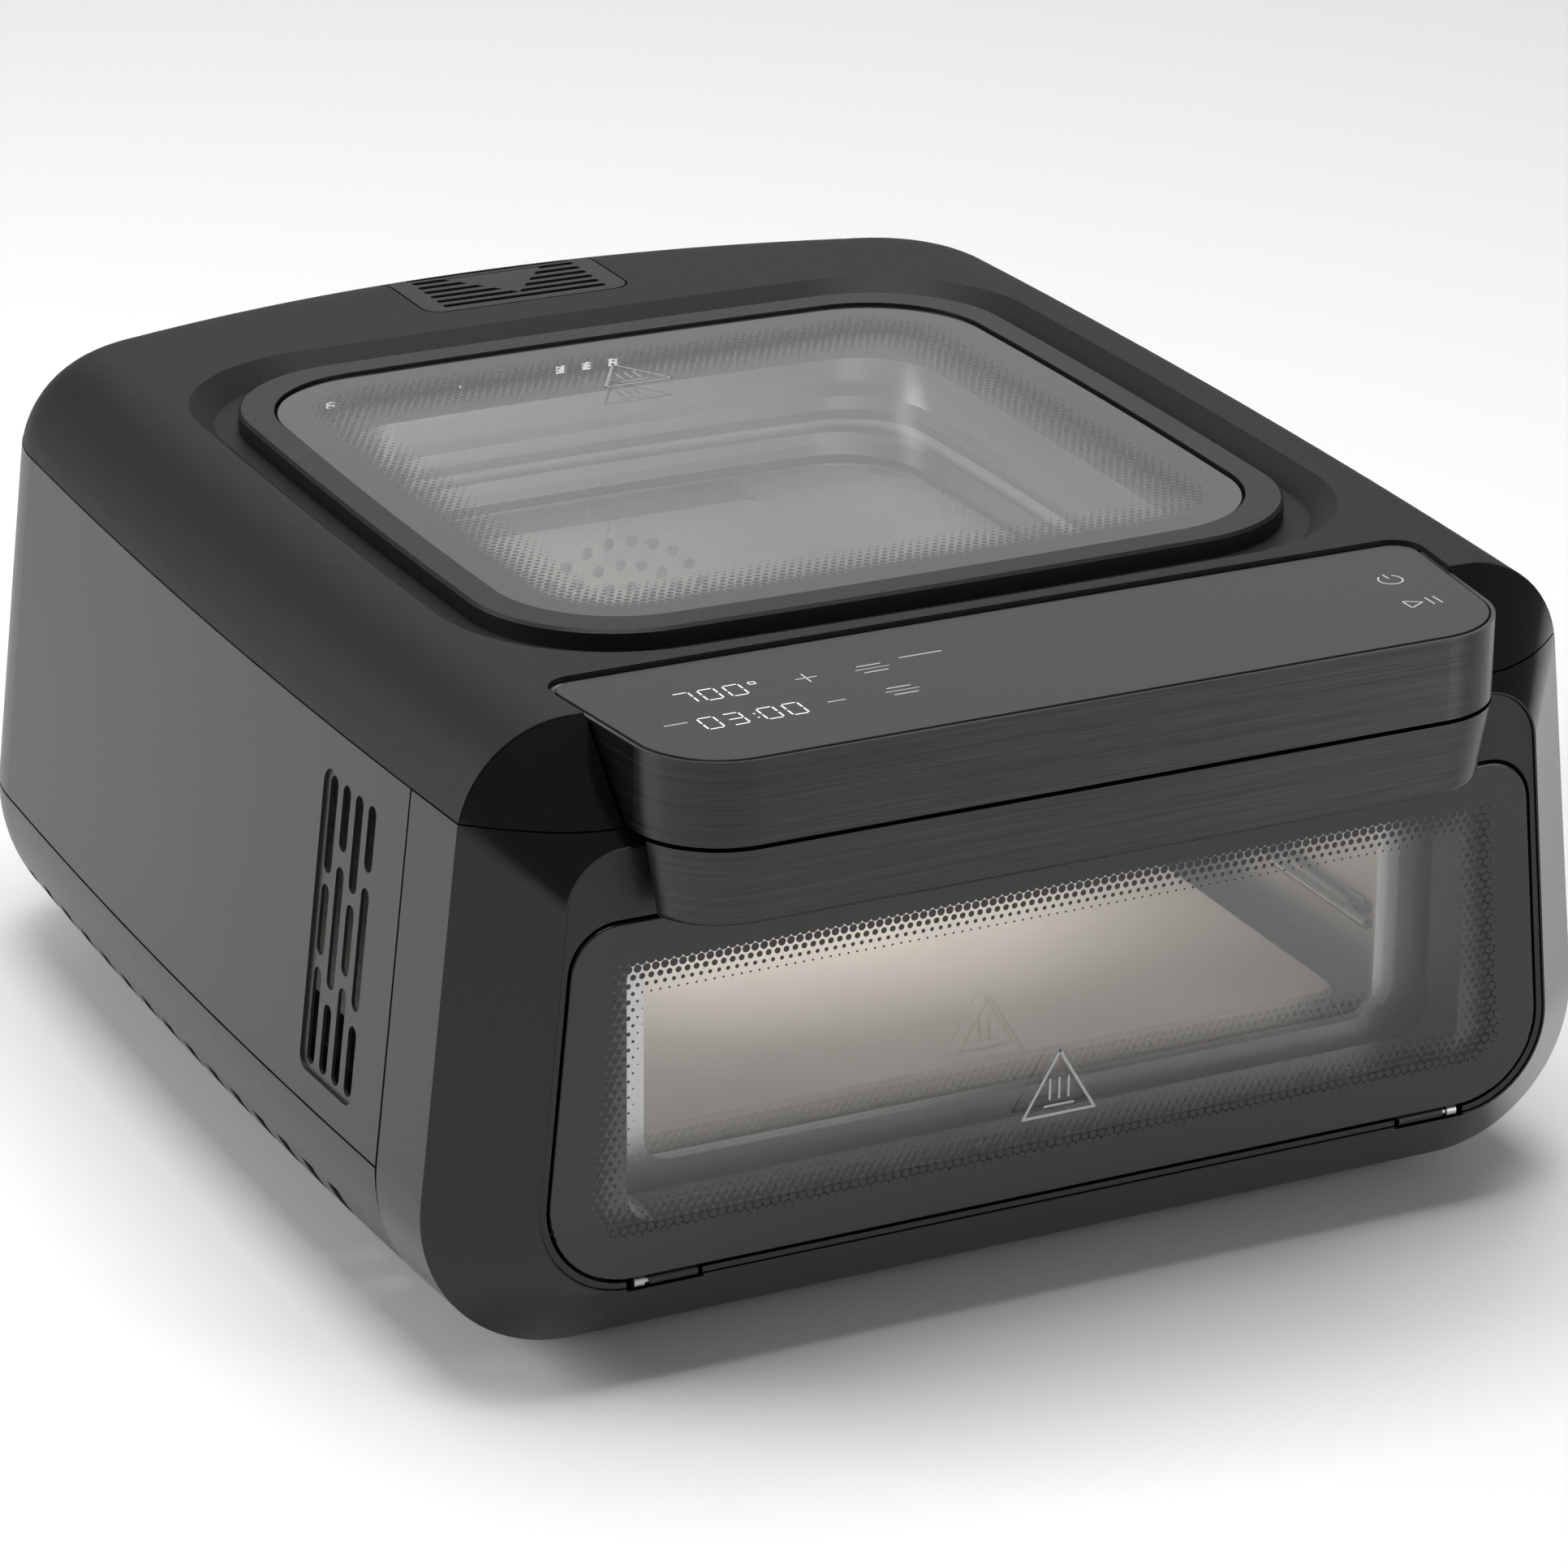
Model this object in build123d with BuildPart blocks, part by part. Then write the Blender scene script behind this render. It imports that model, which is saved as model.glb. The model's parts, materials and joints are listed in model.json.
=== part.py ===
"""Countertop pizza oven and air fryer with a drop-down front door, a window in the top and a touch console.

Millimetres. +X is the right side, -Y the front, +Z up.
The origin is the middle of the footprint, on the floor.
"""

import os
from build123d import *

os.makedirs("parts", exist_ok=True)

# Heights above the floor
Z_BASE = 8.0  # underside of the lower housing
Z_BEZEL = 12.0  # lowest line of the front bezel
Z_SEAM = 75.5  # lower housing meets the side panels
Z_SPLIT = 219.0  # console and cheeks meet the bezel and the handle
Z_TOP = 252.6  # flat of the top cover
FLARE = 0.112  # how far the sides lean out per mm going down

# Depths
Y_REAR = 291.2
Y_SHOULDER = -228.7  # where the bezel starts to taper
Y_STRIP = -192.5  # back edge of the bezel's side strips
Y_FACE = -260.0  # face of the door glass
Y_NOSE = -291.0  # front of console and handle

# Side walls
HALF_SEAM = 239.8  # half the width at the seam, at the shoulder
BOW = 6.0  # how far the long sides bow out
WALL = 2.6
TOP_ROUND = 42.0

SEAM = 1.2  # open joint between the bezel and the shell behind it

# Window in the top
WIN_Y = 15.5
RING_X = 168.6
RING_Y = 166.9

# Front outlines: half-width 70 above the lower edge, lean, lower and upper edge, lower and upper corner radii
SHOULDER = (239.1, FLARE, Z_BEZEL, Z_TOP, 58.0, TOP_ROUND)
MOUTHPIECE = (205.2, 0.10, 42.5, 213.5, 36.0, 23.0)
DOOR = (200.0, 0.10, 47.1, 184.9, 32.0, 18.0)

# Door
PIVOT_Y = Y_FACE + 2.0  # just under the door's lower edge, so that its corners swing clear
PIVOT_Z = 44.8
BRACKET_Z = 55.5  # screws of the hinge brackets
GAP = 1.3

# Oven cavity
CAV_X = 167.0
CAV_FRONT = -218.6
CAV_BACK = 140.0
CAV_FLOOR = 44.0
CAV_TOP = 197.0
MOUTH_X = 159.0
MOUTH_LOW = 70.0
MOUTH_HIGH = 176.0


def save(builder, label):
    builder.part.label = label
    export_step(builder.part, "parts/" + label + ".step")


# Shared outlines. Each is called inside an open BuildSketch.

def front_outline(shape, grow=0.0):
    """Leaning rounded outline of the bezel, its opening or the door, on a plane facing the front."""
    half, lean, low, high, r_low, r_high = shape
    low_half = half + lean * 70 + grow
    high_half = half - lean * (high - low - 70) + grow
    with BuildLine() as edge:
        Polyline(
            (-low_half, low - grow),
            (low_half, low - grow),
            (high_half, high + grow),
            (-high_half, high + grow),
            close=True,
        )
    make_face(edge.edges())
    fillet(vertices().group_by(Axis.Y)[0], radius=r_low + grow)
    fillet(vertices().group_by(Axis.Y)[-1], radius=r_high + grow)


def body_outline(height, inset=0.0, front=Y_SHOULDER):
    """Plan of the body at a height: bowed sides, bowed back and large rear corners."""
    side = HALF_SEAM - FLARE * (height - Z_SEAM) - inset
    back = Y_REAR - inset
    reach = 230.7
    middle = Y_SHOULDER + reach
    if front == Y_SHOULDER:
        start = side
    else:
        start = side + BOW * (1 - ((front - middle) / reach) ** 2)
    corner = back - 44.5
    end = side + BOW * (1 - ((corner - middle) / reach) ** 2)
    with BuildLine() as edge:
        Line((start, front), (-start, front))
        ThreePointArc((-start, front), (-side - BOW, middle), (-end, corner))
        ThreePointArc((-end, corner), (0, back), (end, corner))
        ThreePointArc((end, corner), (side + BOW, middle), (start, front))
    make_face(edge.edges())
    rear = vertices().group_by(Axis.Y)[-1]
    fillet(rear, radius=70.0 - inset)


def soft_square(half_x, half_y, corner, bow=3.5):
    """Square with slightly bowed sides and round corners."""
    a = half_x - bow
    b = half_y - bow
    with BuildLine() as edge:
        ThreePointArc((-a, -b), (0, -half_y), (a, -b))
        ThreePointArc((a, -b), (half_x, 0), (a, b))
        ThreePointArc((a, b), (0, half_y), (-a, b))
        ThreePointArc((-a, b), (-half_x, 0), (-a, -b))
    make_face(edge.edges())
    fillet(vertices(), radius=corner)


def console_outline(grow=0.0):
    """Plan of the console: a little narrower at the front, with big front corners."""
    nose = Y_NOSE - grow
    with BuildLine() as edge:
        Polyline(
            (-178.6 - grow, -194.8 + grow),
            (178.6 + grow, -194.8 + grow),
            (168.5 + grow, nose),
            (-168.5 - grow, nose),
            close=True,
        )
    make_face(edge.edges())
    fillet(vertices().group_by(Axis.Y)[0], radius=34.0 + grow)
    fillet(vertices().group_by(Axis.Y)[-1], radius=11.0 + max(grow, -8))


def body_solid(inset, low, front, rounded):
    """Upper body volume from a low plane to the flat top, with the top edge rounded."""
    top = Z_TOP - inset
    with BuildPart() as volume:
        with BuildSketch(Plane.XY.offset(low)):
            body_outline(low, inset, front)
        with BuildSketch(Plane.XY.offset(top)):
            body_outline(top, inset, front)
        loft()
        if rounded:
            rim = volume.faces().sort_by(Axis.Z)[-1].edges()
            rim = [edge for edge in rim if edge.center().Y > front + 1]
            fillet(rim, radius=TOP_ROUND - inset)
    return volume.part


# Body shell

wall_outer = body_solid(0, Z_SEAM + 0.5, Y_STRIP + SEAM, False)
wall_skin = body_solid(1.3, Z_SEAM - 5, Y_STRIP - 5, False)
wall_inner = body_solid(WALL, Z_SEAM - 5, Y_STRIP - 5, False)
VENT_Y = -145.3
VENT_Z = 145.9
VENT_COLUMNS = (
    (-16.2, ((55.5, 30.5), (24.5, -22.5), (-28.5, -55.5))),
    (-5.4, ((55.5, 18.5), (14, -13), (-18, -55.5))),
    (5.4, ((55.5, 30.5), (24.5, -22.5), (-28.5, -55.5))),
    (16.2, ((55.5, 18.5), (14, -13), (-18, -55.5))),
)


def side_panel(side):
    with BuildPart() as panel:
        add(wall_outer)
        add(wall_inner, mode=Mode.SUBTRACT)
        split(bisect_by=Plane.XY.offset(Z_SPLIT - 0.4), keep=Keep.BOTTOM)
        # The rear panel takes the middle of the back
        with BuildSketch(Plane.XY.offset(Z_SEAM - 10)):
            with Locations((-side * 150, 0)):
                Rectangle(537.2, 700)
        extrude(amount=200, mode=Mode.SUBTRACT)
        # Shallow recess of the vent
        with BuildPart(mode=Mode.SUBTRACT):
            with BuildSketch(Plane.YZ.offset(side * 200)):
                with Locations((VENT_Y, VENT_Z)):
                    RectangleRounded(45.6, 116, 6)
            extrude(amount=side * 60)
            add(wall_skin, mode=Mode.SUBTRACT)
        # Slots in four staggered columns
        with BuildSketch(Plane.YZ.offset(side * 200)):
            for across, slots in VENT_COLUMNS:
                for high, low in slots:
                    with Locations((VENT_Y + across, VENT_Z + (high + low) / 2)):
                        SlotOverall(high - low, 6.4, rotation=90)
        extrude(amount=side * 60, mode=Mode.SUBTRACT)
    return panel


side_panel_left = side_panel(-1)
save(side_panel_left, "side_panel_left")
side_panel_right = side_panel(1)
save(side_panel_right, "side_panel_right")

INLET_X = 78.0
INLET_Z = 104.0

with BuildPart() as rear_panel:
    add(wall_outer)
    add(wall_inner, mode=Mode.SUBTRACT)
    split(bisect_by=Plane.XY.offset(Z_SPLIT - 0.4), keep=Keep.BOTTOM)
    with BuildPart(mode=Mode.INTERSECT):
        with Locations((0, 250, 150)):
            Box(236.0, 160, 200)
    with BuildSketch(Plane.XZ.offset(-330)):
        with Locations((0, 168)):
            with GridLocations(12, 36, 13, 2):
                SlotOverall(28, 5.0, rotation=90)
        with Locations((INLET_X, INLET_Z)):
            RectangleRounded(27.6, 20.6, 3)
    extrude(amount=120, mode=Mode.SUBTRACT)
    with BuildSketch(Plane.XZ.offset(-330)):
        with Locations((-108, 92), (108, 92), (-108, 206), (108, 206)):
            Circle(1.9)
    extrude(amount=120, mode=Mode.SUBTRACT)
save(rear_panel, "rear_panel")

cover_outer = body_solid(0, 190, Y_SHOULDER, True)
cover_inner = body_solid(WALL, 185, Y_SHOULDER - 20, True)
DISH_FLOOR = 244.6
DISH_Y = WIN_Y + 4.0


def dish_volume(grow, floor):
    with BuildPart() as dish:
        with BuildSketch(Plane.XY.offset(floor)):
            with Locations((0, DISH_Y)):
                soft_square(176.0 + grow, 178.4 + grow, 64 + grow)
        with BuildSketch(Plane.XY.offset(Z_TOP + 0.01)):
            with Locations((0, DISH_Y)):
                soft_square(185.0 + grow, 187.4 + grow, 70 + grow)
        loft()
    return dish.part


GRILLE_X = 46.0
GRILLE_FRONT = 209.8
GRILLE_LOW = 229.0


def grille_plan(grow=0.0):
    """Plan of the grille, with round front corners. It runs past the back of the body."""
    with Locations((0, GRILLE_FRONT + 60)):
        RectangleRounded(2 * (GRILLE_X + grow), 120 + 2 * grow, 8.0 + grow)


with BuildPart() as top_cover:
    add(cover_outer)
    add(dish_volume(0, DISH_FLOOR), mode=Mode.SUBTRACT)
    with BuildPart(mode=Mode.SUBTRACT):
        add(cover_inner)
        add(dish_volume(2.4, DISH_FLOOR - WALL), mode=Mode.SUBTRACT)
    split(bisect_by=Plane.XY.offset(Z_SPLIT + 0.2), keep=Keep.TOP)
    # Opening under the window
    with BuildSketch(Plane.XY.offset(230)):
        with Locations((0, WIN_Y)):
            soft_square(156, 154, 50)
    extrude(amount=40, mode=Mode.SUBTRACT)
    # Notch for the console
    with BuildSketch(Plane.XY.offset(210)):
        console_outline(0.7)
    extrude(amount=60, mode=Mode.SUBTRACT)
    # Notch for the exhaust grille
    with BuildSketch(Plane.XY.offset(GRILLE_LOW - 0.9)):
        grille_plan(0.9)
    extrude(amount=60, mode=Mode.SUBTRACT)
save(top_cover, "top_cover")

with BuildPart() as exhaust_grille:
    add(cover_outer)
    add(cover_inner, mode=Mode.SUBTRACT)
    with BuildPart(mode=Mode.INTERSECT):
        with BuildSketch(Plane.XY.offset(GRILLE_LOW)):
            grille_plan()
        extrude(amount=60)
    # Seven slots, broken by a plain triangular pad
    with BuildSketch(Plane.XY.offset(200)):
        with Locations((0, GRILLE_FRONT + 26.5)):
            with GridLocations(0, 6.6, 1, 7):
                SlotOverall(74, 3.4)
        with Locations((0, GRILLE_FRONT + 31)):
            Triangle(a=44, b=36, c=36, rotation=180, mode=Mode.SUBTRACT)
    extrude(amount=70, mode=Mode.SUBTRACT)
save(exhaust_grille, "exhaust_grille")


def base_solid(inset, front):
    with BuildPart() as volume:
        with BuildSketch(Plane.XY.offset(Z_BASE + inset)):
            body_outline(Z_SEAM - 8, inset, front)
        with BuildSketch(Plane.XY.offset(Z_SEAM - 0.5)):
            body_outline(Z_SEAM - 0.5, inset, front)
        loft()
        rim = volume.faces().sort_by(Axis.Z)[0].edges()
        rim = [edge for edge in rim if edge.center().Y > front + 1]
        fillet(rim, radius=64.0 - inset)
    return volume.part


FEET = ((-168, -150), (168, -150), (-150, 205), (150, 205))
with BuildPart() as lower_housing:
    add(base_solid(0, Y_STRIP + SEAM))
    with BuildPart(mode=Mode.SUBTRACT):
        add(base_solid(3.0, Y_STRIP - 20))
    # Air slots around the lower edge
    for side in (-1, 1):
        for step in range(16):
            with Locations(Location((side * 229, -141 + 23.7 * step, 22), (0, side * 45, 0))):
                Box(22, 10, 46, mode=Mode.SUBTRACT)
    with Locations(*[(x, y, Z_BASE) for x, y in FEET]):
        Cylinder(2.2, 20, mode=Mode.SUBTRACT)
save(lower_housing, "lower_housing")

with BuildPart() as feet:
    for x, y in FEET:
        with Locations((x, y, 0)):
            Cylinder(15, Z_BASE, align=(Align.CENTER, Align.CENTER, Align.MIN))
    chamfer(feet.edges().group_by(Axis.Z)[0], length=1.5)
    with Locations(*[(x, y, 0) for x, y in FEET]):
        CounterBoreHole(2.2, 5.0, 3.0, 30)
save(feet, "feet")

# Front bezel and cheeks

def taper_block():
    with BuildPart() as block:
        with BuildSketch(Plane.XZ.offset(-Y_SHOULDER)):
            front_outline(SHOULDER)
        with BuildSketch(Plane.XZ.offset(-Y_FACE)):
            front_outline(MOUTHPIECE)
        loft()
    return block.part


bezel_taper = taper_block()

with BuildPart() as front_bezel:
    add(bezel_taper)
    with BuildSketch(Plane.XZ.offset(-Y_STRIP)):
        front_outline(SHOULDER, 1.6)
    with BuildSketch(Plane.XZ.offset(-Y_SHOULDER)):
        front_outline(SHOULDER)
    loft()
    # Hollow behind, leaving the skin and the wall round the opening
    with BuildPart(mode=Mode.SUBTRACT):
        with BuildSketch(Plane.XZ.offset(-Y_STRIP - 5)):
            front_outline(SHOULDER, -3.0)
        extrude(amount=Y_STRIP + 5 - Y_SHOULDER)
        with BuildSketch(Plane.XZ.offset(-Y_SHOULDER)):
            front_outline(SHOULDER, -3.0)
        with BuildSketch(Plane.XZ.offset(-Y_FACE - 5.0)):
            front_outline(MOUTHPIECE, 3.0)
        loft()
        with BuildSketch(Plane.XZ.offset(222)):
            front_outline(MOUTHPIECE, 2.2)
        extrude(amount=50, mode=Mode.SUBTRACT)
    with BuildSketch(Plane.XZ.offset(-Y_STRIP - 10)):
        front_outline(MOUTHPIECE, -0.8)
    extrude(amount=90, mode=Mode.SUBTRACT)
    # Notches for the hinges
    for side in (-1, 1):
        with Locations((side * 159.0, Y_FACE + 10.0, 45.2)):
            Box(30, 24, 6, mode=Mode.SUBTRACT)
    split(bisect_by=Plane.XY.offset(Z_SPLIT - 0.4), keep=Keep.BOTTOM)
save(front_bezel, "front_bezel")


def cheek(side):
    with BuildPart() as piece:
        add(bezel_taper)
        split(bisect_by=Plane.XY.offset(Z_SPLIT + 0.2), keep=Keep.TOP)
        split(bisect_by=Plane.XZ.offset(-Y_SHOULDER + 0.5), keep=Keep.TOP)
        with BuildSketch(Plane.XY.offset(210)):
            console_outline(0.7)
        extrude(amount=60, mode=Mode.SUBTRACT)
        with Locations((-side * 250, -250, 230)):
            Box(500, 200, 100, mode=Mode.SUBTRACT)
    return piece


cheek_left = cheek(-1)
save(cheek_left, "cheek_left")
cheek_right = cheek(1)
save(cheek_right, "cheek_right")

# Door surround: the matte tunnel the door shuts into
POST_X = 118.0
TUNNEL_BACK = -219.9
with BuildPart() as door_surround:
    with BuildSketch(Plane.XZ.offset(-Y_FACE - 0.6)):
        front_outline(MOUTHPIECE, -1.2)
        with BuildSketch(Plane.XZ.offset(-Y_FACE - 0.6), mode=Mode.SUBTRACT):
            front_outline(DOOR, GAP)
    extrude(amount=TUNNEL_BACK - Y_FACE - 0.6, dir=(0, 1, 0))
    # Finger space above the door, behind the handle
    with Locations((0, -246, 197.5)):
        Box(300, 32, 25.6, mode=Mode.SUBTRACT)
    # Gutter behind the lip, for the swing of the door's lower edge
    with Locations((0, Y_FACE + 1.4 + 17.5, 44.0)):
        Box(392, 35, 6.4, mode=Mode.SUBTRACT)
    # Notches for the hinges
    for side in (-1, 1):
        with Locations((side * 159.0, Y_FACE + 5.0, 44.0)):
            Box(30, 14, 6.4, mode=Mode.SUBTRACT)
save(door_surround, "door_surround")


# Console

BAND_LOW = Z_SPLIT + 0.6
BAND_HIGH = 251.0
with BuildPart() as console_band:
    with BuildSketch(Plane.XY.offset(BAND_LOW)):
        console_outline()
        with BuildSketch(Plane.XY.offset(BAND_LOW), mode=Mode.SUBTRACT):
            console_outline(-1.5)
    extrude(amount=BAND_HIGH - BAND_LOW)
    split(bisect_by=Plane.XZ.offset(208), keep=Keep.TOP)
save(console_band, "console_band")

with BuildPart() as console_housing:
    with BuildSketch(Plane.XY.offset(BAND_LOW)):
        console_outline(-1.6)
    extrude(amount=248.4 - BAND_LOW)
    with BuildSketch(Plane.XY.offset(BAND_LOW + 3)):
        console_outline(-6.0)
    extrude(amount=60, mode=Mode.SUBTRACT)
    with Locations((-140, -205, BAND_LOW), (140, -205, BAND_LOW)):
        Cylinder(1.7, 20, mode=Mode.SUBTRACT)
save(console_housing, "console_housing")

with BuildPart() as console_glass:
    with BuildSketch(Plane.XY.offset(248.6)):
        console_outline(-2.1)
    extrude(amount=2.8)
    chamfer(console_glass.edges().group_by(Axis.Z)[-1], length=0.3)
save(console_glass, "console_glass")

with BuildPart() as display_board:
    with Locations((0, -243, 237)):
        Box(300, 62, 1.6)
    with Locations((-122, -243, 240.3)):
        Box(58, 40, 5.0)
    with Locations((60, -232, 239.3)):
        Box(16, 16, 3.0)
    with Locations(*[(x, -243 + y, 229.4) for x in (-140, 140) for y in (-22, 22)]):
        Cylinder(3.0, 13.6)
save(display_board, "display_board")

# Window in the top

RING_TOP = 252.6
with BuildPart() as window_ring:
    with BuildSketch(Plane.XY.offset(DISH_FLOOR)):
        with Locations((0, WIN_Y)):
            soft_square(RING_X, RING_Y, 58)
    extrude(amount=RING_TOP - DISH_FLOOR)
    chamfer(window_ring.edges().group_by(Axis.Z)[-1], length=1.2)
    with BuildSketch(Plane.XY.offset(DISH_FLOOR - 1)):
        with Locations((0, WIN_Y + 1)):
            soft_square(150.0, 147.4, 46)
    extrude(amount=20, mode=Mode.SUBTRACT)
    with BuildSketch(Plane.XY.offset(RING_TOP - 4.9)):
        with Locations((0, WIN_Y + 1)):
            soft_square(156.2, 153.6, 50)
    extrude(amount=20, mode=Mode.SUBTRACT)
save(window_ring, "window_ring")

with BuildPart() as top_glass_outer:
    with BuildSketch(Plane.XY.offset(RING_TOP - 4.8)):
        with Locations((0, WIN_Y + 1)):
            soft_square(155.2, 152.6, 49)
    extrude(amount=3.6)
    chamfer(top_glass_outer.edges().group_by(Axis.Z)[-1], length=0.4)
save(top_glass_outer, "top_glass_outer")

# Stepped steel frame from the ceiling of the oven up to the window
with BuildPart() as window_frame:
    for low, high, half in ((236.0, 237.2, 160.0), (224.0, 225.2, 132.0), (212.0, 213.2, 124.0)):
        with BuildSketch(Plane.XY.offset(low)):
            with Locations((0, WIN_Y)):
                soft_square(half, half - 2, 44)
        extrude(amount=high - low)
    for low, high, half in ((224.0, 237.2, 133.2), (212.0, 225.2, 125.2), (202.4, 213.2, 117.2)):
        with BuildSketch(Plane.XY.offset(low)):
            with Locations((0, WIN_Y)):
                soft_square(half, half - 2, 36)
        extrude(amount=high - low)
    for low, high, half in ((224.1, 240.0, 132.0), (212.1, 230.0, 124.0), (200.0, 220.0, 116.0)):
        with BuildSketch(Plane.XY.offset(low)):
            with Locations((0, WIN_Y)):
                soft_square(half, half - 2, 35)
        extrude(amount=high - low, mode=Mode.SUBTRACT)
save(window_frame, "window_frame")

with BuildPart() as window_gasket:
    with BuildSketch(Plane.XY.offset(213.3)):
        with Locations((0, WIN_Y)):
            soft_square(122.6, 120.6, 34)
        with BuildSketch(Plane.XY.offset(213.3), mode=Mode.SUBTRACT):
            with Locations((0, WIN_Y)):
                soft_square(117.4, 115.4, 30)
    extrude(amount=1.6)
save(window_gasket, "window_gasket")

with BuildPart() as top_glass_inner:
    with BuildSketch(Plane.XY.offset(215.0)):
        with Locations((0, WIN_Y)):
            soft_square(122.4, 120.4, 34)
    extrude(amount=4.0)
save(top_glass_inner, "top_glass_inner")

# Oven cavity

SHEET = 1.0
CAV_MID = (CAV_FRONT + CAV_BACK) / 2
CAV_LENGTH = CAV_BACK - CAV_FRONT
FAN_Z = 132.0
HEAT_UP_Z = 188.0
HEAT_LOW_Z = 53.0
with BuildPart() as cavity_liner:
    with BuildSketch(Plane.XZ.offset(-CAV_BACK - SHEET)):
        with Locations((0, (CAV_FLOOR + CAV_TOP) / 2)):
            RectangleRounded(2 * (CAV_X + SHEET), CAV_TOP - CAV_FLOOR + 2 * SHEET, 13)
    extrude(amount=CAV_LENGTH + SHEET)
    with BuildSketch(Plane.XZ.offset(-CAV_BACK)):
        with Locations((0, (CAV_FLOOR + CAV_TOP) / 2)):
            RectangleRounded(2 * CAV_X, CAV_TOP - CAV_FLOOR, 12)
    extrude(amount=CAV_LENGTH + 5, mode=Mode.SUBTRACT)
    # Opening up to the window
    with BuildSketch(Plane.XY.offset(CAV_TOP - 3)):
        with Locations((0, WIN_Y)):
            soft_square(117.6, 115.6, 36)
    extrude(amount=10, mode=Mode.SUBTRACT)
    # Shaft of the convection fan and the heater ends
    with BuildSketch(Plane.XZ.offset(-CAV_BACK - 5)):
        with Locations((0, FAN_Z)):
            Circle(6)
        with Locations((-120, HEAT_UP_Z), (120, HEAT_UP_Z), (-120, HEAT_LOW_Z), (120, HEAT_LOW_Z)):
            Circle(3.6)
        with Locations((-140, 150)):
            Circle(2.2)
    extrude(amount=20, mode=Mode.SUBTRACT)
save(cavity_liner, "cavity_liner")

with BuildPart() as mouth_frame:
    with BuildSketch(Plane.XZ.offset(-CAV_FRONT)):
        with Locations((0, 119)):
            RectangleRounded(392, 176, 12)
        with Locations((0, (MOUTH_LOW + MOUTH_HIGH) / 2)):
            RectangleRounded(2 * MOUTH_X, MOUTH_HIGH - MOUTH_LOW, 10, mode=Mode.SUBTRACT)
    extrude(amount=1.2)
    # Rolled lip round the mouth, turned into the oven
    with BuildSketch(Plane.XZ.offset(-CAV_FRONT - 5)):
        with Locations((0, (MOUTH_LOW + MOUTH_HIGH) / 2)):
            RectangleRounded(2 * MOUTH_X + 2.4, MOUTH_HIGH - MOUTH_LOW + 2.4, 11.2)
            RectangleRounded(2 * MOUTH_X, MOUTH_HIGH - MOUTH_LOW, 10, mode=Mode.SUBTRACT)
    extrude(amount=5)
    # Hinge slots
    with BuildSketch(Plane.XZ.offset(-CAV_FRONT - 5)):
        with Locations((-178, BRACKET_Z), (178, BRACKET_Z)):
            Circle(1.6)
    extrude(amount=20, mode=Mode.SUBTRACT)
save(mouth_frame, "mouth_frame")

with BuildPart() as door_gasket:
    with BuildSketch(Plane.XZ.offset(-CAV_FRONT + 1.2)):
        with Locations((0, (MOUTH_LOW + MOUTH_HIGH) / 2)):
            RectangleRounded(2 * MOUTH_X + 12, MOUTH_HIGH - MOUTH_LOW + 9, 15)
            RectangleRounded(2 * MOUTH_X + 4, MOUTH_HIGH - MOUTH_LOW + 2.4, 12, mode=Mode.SUBTRACT)
    extrude(amount=3.6)
    fillet(door_gasket.edges().group_by(Axis.Y)[0], radius=1.2)
save(door_gasket, "door_gasket")


def side_rail(side):
    with BuildPart() as rail:
        wall = side * (CAV_X - 5.0)
        with BuildLine(Plane.YZ.offset(wall)) as run:
            Line((-206, 102), (118, 102))
        with BuildSketch(Plane.XZ.offset(206)):
            with Locations((wall, 102)):
                Circle(2.2)
        sweep(path=run.line)
        for y in (-190, -45, 100):
            with Locations(Location((wall + side * 2.5, y, 102), (0, 90, 0))):
                Cylinder(1.8, 5.0)
        for y in (-190, -45, 100):
            with Locations((wall + side * 4.4, y, 102)):
                Box(1.2, 12, 12)
    return rail


rail_left = side_rail(-1)
save(rail_left, "rail_left")
rail_right = side_rail(1)
save(rail_right, "rail_right")

STONE_TOP = 76.0
STONE_X = 153.0
STONE_FRONT = -205.0
STONE_BACK = 108.0
STONE_Y = (STONE_FRONT + STONE_BACK) / 2
STONE_LENGTH = STONE_BACK - STONE_FRONT
with BuildPart() as stone_carrier:
    with BuildSketch(Plane.XY.offset(60.0)):
        with Locations((0, STONE_Y)):
            RectangleRounded(2 * STONE_X - 4, STONE_LENGTH - 4, 10)
            RectangleRounded(2 * STONE_X - 28, STONE_LENGTH - 28, 6, mode=Mode.SUBTRACT)
            with GridLocations(0, 70, 1, 3):
                Rectangle(2 * STONE_X - 20, 6)
    extrude(amount=2.0)
    with Locations(*[(x, STONE_Y + y, CAV_FLOOR) for x in (-143, 143) for y in (-146, 146)]):
        Cylinder(4.5, 16.0, align=(Align.CENTER, Align.CENTER, Align.MIN))
save(stone_carrier, "stone_carrier")

with BuildPart() as baking_stone:
    with BuildSketch(Plane.XY.offset(62.2)):
        with Locations((0, STONE_Y)):
            RectangleRounded(2 * STONE_X, STONE_LENGTH, 12)
    extrude(amount=STONE_TOP - 62.2)
    fillet(baking_stone.edges().group_by(Axis.Z)[-1], radius=2.5)
    chamfer(baking_stone.edges().group_by(Axis.Z)[0], length=1.0)
save(baking_stone, "baking_stone")


def heater(height, half, front, legs):
    """One bent rod: two ends at the back wall and a loop forward in the oven."""
    end = CAV_BACK + 22
    with BuildPart() as rod:
        with BuildLine(Plane.XY.offset(height)) as path:
            corners = FilletPolyline(
                (-legs, end),
                (-legs, 118),
                (-half, 118),
                (-half, front),
                (half, front),
                (half, 118),
                (legs, 118),
                (legs, end),
                radius=11,
            )
        with BuildSketch(Plane(origin=corners @ 0, z_dir=corners % 0)):
            Circle(3.2)
        sweep(path=path.line)
    return rod


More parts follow.
